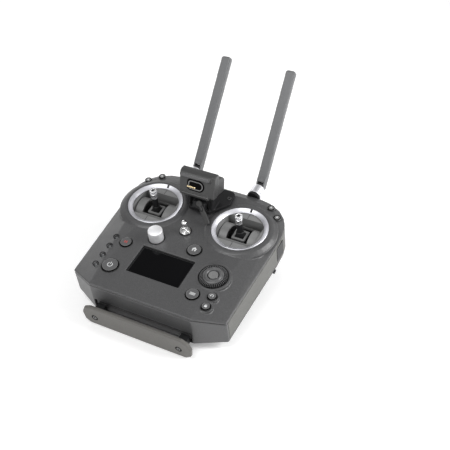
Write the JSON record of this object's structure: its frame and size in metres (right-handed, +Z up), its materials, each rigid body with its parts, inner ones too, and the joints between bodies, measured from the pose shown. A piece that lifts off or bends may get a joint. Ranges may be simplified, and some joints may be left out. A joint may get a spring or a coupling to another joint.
{
  "type": "radio transmitter controller",
  "caption": "Hand-held drone transmitter with gimballed sticks, screen, dials, folding antennas, tilting display bracket and slide-in battery.",
  "frame": {"origin": "centre of the bounding box's bottom, on the surface the transmitter lies on", "axes": "+X to the operator's right, +Y from the operator towards the antennas, +Z up"},
  "size_m": [0.1974, 0.31, 0.196],
  "materials": {
    "shell": "fine speckled matt",
    "side_rubber": "matt, soft to the touch",
    "rubber": "matt",
    "black_plastic": "satin",
    "head_plastic": "matt",
    "antenna_plastic": "matt",
    "button_plastic": "matt",
    "silver": "satin anodised",
    "chrome": "polished",
    "screen_glass": "glossy",
    "board": "satin",
    "contact": "satin",
    "light_pipe": "satin"
  },
  "bodies": {
    "housing": {"top_cover": "shell", "bottom_housing": "shell", "grip_left": "shell", "grip_right": "shell", "front_plate": "shell", "gimbal_case_left": "shell", "gimbal_case_right": "shell", "side_panel_left": "side_rubber", "side_panel_right": "side_rubber", "grip_foot_left": "rubber", "grip_foot_right": "rubber", "front_grille": "black_plastic", "plate_arm_left": "black_plastic", "plate_arm_right": "black_plastic", "plate_screw_left": "black_plastic", "plate_screw_right": "black_plastic", "mount_foot": "black_plastic", "stick_ring_left": "silver", "stick_ring_right": "silver", "toggle_bushing": "chrome", "screen": "screen_glass", "main_board": "board", "status_light_pipe": "light_pipe"},
    "drum_left": {"gimbal_drum_left": "shell"},
    "stick_left": {"stick_rocker_left": "black_plastic", "stick_tip_left": "silver"},
    "drum_right": {"gimbal_drum_right": "shell"},
    "stick_right": {"stick_rocker_right": "black_plastic", "stick_tip_right": "silver"},
    "power_button": {"power_button": "button_plastic"},
    "pause_button": {"pause_button": "button_plastic"},
    "home_button": {"home_button": "button_plastic"},
    "menu_button": {"menu_button": "button_plastic"},
    "back_button": {"back_button": "button_plastic"},
    "lock_button": {"lock_button": "button_plastic"},
    "left_outer_button": {"left_outer_button": "button_plastic"},
    "left_inner_button": {"left_inner_button": "button_plastic"},
    "right_inner_button": {"right_inner_button": "button_plastic"},
    "right_outer_button": {"right_outer_button": "button_plastic"},
    "selection_wheel": {"selection_wheel": "black_plastic"},
    "wheel_button": {"wheel_button": "button_plastic"},
    "exposure_knob": {"exposure_knob": "silver"},
    "toggle_lever": {"toggle_lever": "chrome"},
    "rear_dial_left": {"rear_dial_left": "black_plastic"},
    "rear_dial_right": {"rear_dial_right": "black_plastic"},
    "record_button": {"record_button": "button_plastic"},
    "shutter_button": {"shutter_button": "button_plastic"},
    "rear_lever_left": {"rear_lever_left": "black_plastic"},
    "rear_lever_right": {"rear_lever_right": "black_plastic"},
    "battery_pack": {"battery_pack": "black_plastic"},
    "antenna_collar_left": {"antenna_collar_left": "silver"},
    "antenna_blade_left": {"antenna_blade_left": "antenna_plastic"},
    "antenna_collar_right": {"antenna_collar_right": "silver"},
    "antenna_blade_right": {"antenna_blade_right": "antenna_plastic"},
    "mount_head": {"mount_head": "head_plastic", "contact_block": "contact"},
    "lock_lever": {"lock_lever": "black_plastic"},
    "port_cover": {"port_cover": "rubber"}
  },
  "joints": [
    {"name": "stick_left_pitch", "type": "hinge", "parent": "housing", "child": "drum_left", "pos_m": [-0.0545, -0.00927, 0.05507], "axis": [1, 0, 0], "range_deg": [-20, 20], "stiffness_Nm_per_rad": 0.06},
    {"name": "stick_left_roll", "type": "hinge", "parent": "drum_left", "child": "stick_left", "pos_m": [-0.0545, -0.00927, 0.05507], "axis": [0, 0.9823, 0.1874], "range_deg": [-20, 20], "stiffness_Nm_per_rad": 0.06},
    {"name": "stick_right_pitch", "type": "hinge", "parent": "housing", "child": "drum_right", "pos_m": [0.0545, -0.00927, 0.05507], "axis": [1, 0, 0], "range_deg": [-20, 20], "stiffness_Nm_per_rad": 0.06},
    {"name": "stick_right_roll", "type": "hinge", "parent": "drum_right", "child": "stick_right", "pos_m": [0.0545, -0.00927, 0.05507], "axis": [0, 0.9823, 0.1874], "range_deg": [-20, 20], "stiffness_Nm_per_rad": 0.06},
    {"name": "power_button_press", "type": "slide", "parent": "housing", "child": "power_button", "axis": [0, 0.1874, -0.9823], "range_m": [0, 0.0008], "stiffness_N_per_m": 400, "springref_m": -0.0004},
    {"name": "pause_button_press", "type": "slide", "parent": "housing", "child": "pause_button", "axis": [0, 0.1874, -0.9823], "range_m": [0, 0.0008], "stiffness_N_per_m": 400, "springref_m": -0.0004},
    {"name": "home_button_press", "type": "slide", "parent": "housing", "child": "home_button", "axis": [0, 0.1874, -0.9823], "range_m": [0, 0.0008], "stiffness_N_per_m": 400, "springref_m": -0.0004},
    {"name": "menu_button_press", "type": "slide", "parent": "housing", "child": "menu_button", "axis": [0, 0.1874, -0.9823], "range_m": [0, 0.0008], "stiffness_N_per_m": 400, "springref_m": -0.0004},
    {"name": "back_button_press", "type": "slide", "parent": "housing", "child": "back_button", "axis": [0, 0.1874, -0.9823], "range_m": [0, 0.0008], "stiffness_N_per_m": 400, "springref_m": -0.0004},
    {"name": "lock_button_press", "type": "slide", "parent": "housing", "child": "lock_button", "axis": [0, 0.1874, -0.9823], "range_m": [0, 0.0008], "stiffness_N_per_m": 400, "springref_m": -0.0004},
    {"name": "left_outer_button_press", "type": "slide", "parent": "housing", "child": "left_outer_button", "axis": [0, 0.1874, -0.9823], "range_m": [0, 0.0008], "stiffness_N_per_m": 400, "springref_m": -0.0004},
    {"name": "left_inner_button_press", "type": "slide", "parent": "housing", "child": "left_inner_button", "axis": [0, 0.1874, -0.9823], "range_m": [0, 0.0008], "stiffness_N_per_m": 400, "springref_m": -0.0004},
    {"name": "right_inner_button_press", "type": "slide", "parent": "housing", "child": "right_inner_button", "axis": [0, 0.1874, -0.9823], "range_m": [0, 0.0008], "stiffness_N_per_m": 400, "springref_m": -0.0004},
    {"name": "right_outer_button_press", "type": "slide", "parent": "housing", "child": "right_outer_button", "axis": [0, 0.1874, -0.9823], "range_m": [0, 0.0008], "stiffness_N_per_m": 400, "springref_m": -0.0004},
    {"name": "wheel_turn", "type": "hinge", "parent": "housing", "child": "selection_wheel", "pos_m": [0.0585, -0.08461, 0.06208], "axis": [0, -0.1874, 0.9823], "continuous": true},
    {"name": "wheel_button_press", "type": "slide", "parent": "housing", "child": "wheel_button", "axis": [0, 0.1874, -0.9823], "range_m": [0, 0.0008], "stiffness_N_per_m": 400, "springref_m": -0.0004},
    {"name": "knob_turn", "type": "hinge", "parent": "housing", "child": "exposure_knob", "pos_m": [-0.0261, -0.05986, 0.0668], "axis": [0, -0.1874, 0.9823], "continuous": true},
    {"name": "toggle_tip", "type": "hinge", "parent": "housing", "child": "toggle_lever", "pos_m": [-0.0008, -0.03817, 0.0689], "axis": [1, 0, 0], "range_deg": [-12, 12]},
    {"name": "rear_dial_left_turn", "type": "hinge", "parent": "housing", "child": "rear_dial_left", "pos_m": [-0.0785, 0.03089, 0.0607], "axis": [0, -0.1874, 0.9823], "range_deg": [-45, 45], "stiffness_Nm_per_rad": 0.01},
    {"name": "rear_dial_right_turn", "type": "hinge", "parent": "housing", "child": "rear_dial_right", "pos_m": [0.0785, 0.03089, 0.0607], "axis": [0, -0.1874, 0.9823], "range_deg": [-45, 45], "stiffness_Nm_per_rad": 0.01},
    {"name": "record_button_press", "type": "slide", "parent": "housing", "child": "record_button", "axis": [0, -0.9823, -0.1874], "range_m": [0, 0.0012], "stiffness_N_per_m": 400, "springref_m": -0.0004},
    {"name": "shutter_button_press", "type": "slide", "parent": "housing", "child": "shutter_button", "axis": [0, -0.9823, -0.1874], "range_m": [0, 0.0012], "stiffness_N_per_m": 400, "springref_m": -0.0004},
    {"name": "rear_lever_left_swing", "type": "hinge", "parent": "housing", "child": "rear_lever_left", "pos_m": [-0.0852, -0.00696, 0.02701], "axis": [0, -0.1874, 0.9823], "range_deg": [-30, 30]},
    {"name": "rear_lever_right_swing", "type": "hinge", "parent": "housing", "child": "rear_lever_right", "pos_m": [0.0852, -0.00696, 0.02701], "axis": [0, -0.1874, 0.9823], "range_deg": [-30, 30]},
    {"name": "battery_slide", "type": "slide", "parent": "housing", "child": "battery_pack", "axis": [0, 0.9823, 0.1874], "range_m": [0, 0.105]},
    {"name": "antenna_left_swivel", "type": "hinge", "parent": "housing", "child": "antenna_collar_left", "pos_m": [-0.0425, 0.06796, 0.08253], "axis": [0, -0.9823, -0.1874], "range_deg": [-30, 90]},
    {"name": "antenna_left_fold", "type": "hinge", "parent": "antenna_collar_left", "child": "antenna_blade_left", "pos_m": [-0.0425, 0.06796, 0.08253], "axis": [0.9995, -0.0059, 0.0309], "range_deg": [-42, 48]},
    {"name": "antenna_right_swivel", "type": "hinge", "parent": "housing", "child": "antenna_collar_right", "pos_m": [0.0425, 0.06796, 0.08253], "axis": [0, 0.9823, 0.1874], "range_deg": [-30, 90]},
    {"name": "antenna_right_fold", "type": "hinge", "parent": "antenna_collar_right", "child": "antenna_blade_right", "pos_m": [0.0425, 0.06796, 0.08253], "axis": [0.9995, -0.0059, 0.0309], "range_deg": [-42, 48]},
    {"name": "mount_tilt", "type": "hinge", "parent": "housing", "child": "mount_head", "pos_m": [0, 0.00109, 0.09969], "axis": [1, 0, 0], "range_deg": [-30, 15]},
    {"name": "lock_lever_swing", "type": "hinge", "parent": "housing", "child": "lock_lever", "pos_m": [0.003, -0.01264, 0.09413], "axis": [0, -0.8271, 0.5621], "range_deg": [-20, 10]},
    {"name": "port_cover_open", "type": "hinge", "parent": "housing", "child": "port_cover", "pos_m": [0.0989, -0.00769, 0.05028], "axis": [0, 0.1874, -0.9823], "range_deg": [0, 100]}
  ]
}
